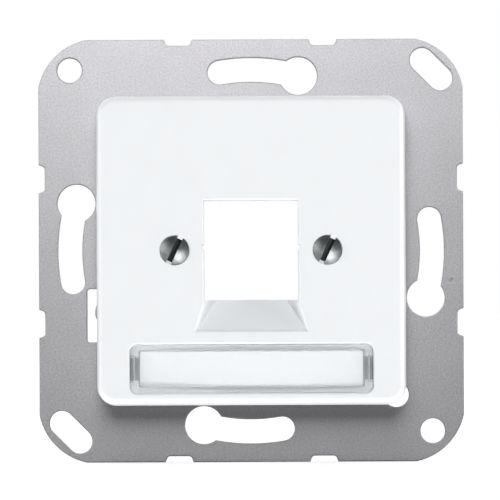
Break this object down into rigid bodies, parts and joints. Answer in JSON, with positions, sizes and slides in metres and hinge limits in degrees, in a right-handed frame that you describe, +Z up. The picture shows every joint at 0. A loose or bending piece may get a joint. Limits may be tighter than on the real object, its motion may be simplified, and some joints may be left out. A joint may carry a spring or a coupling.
{
  "type": "data outlet cover plate",
  "caption": "Square flush wall plate for one modular data jack: steel support frame, white screwed cover with a sloped port and a clear label window.",
  "frame": {"origin": "middle of the circle of the keyhole slots, on the rear face of the steel support frame", "axes": "+Z up on the wall, +X to the right as seen from the room, +Y into the wall; the front faces -Y"},
  "size_m": [0.0704, 0.013, 0.0702],
  "materials": {
    "galvanised_steel": "mottled zinc coating, satin",
    "white_plastic": "smooth moulded, satin gloss",
    "clear_plastic": "clear polished",
    "white_card": "plain uncoated card",
    "plated_steel": "nickel plated, turned"
  },
  "bodies": {
    "outlet": {"support_frame": "galvanised_steel", "cover_plate": "white_plastic", "label_card": "white_card", "screw_left": "plated_steel", "screw_right": "plated_steel"},
    "window": {"label_window": "clear_plastic"}
  },
  "joints": [
    {"name": "window_pull", "type": "slide", "parent": "outlet", "child": "window", "axis": [0, -1, 0], "range_m": [0, 0.008]}
  ]
}
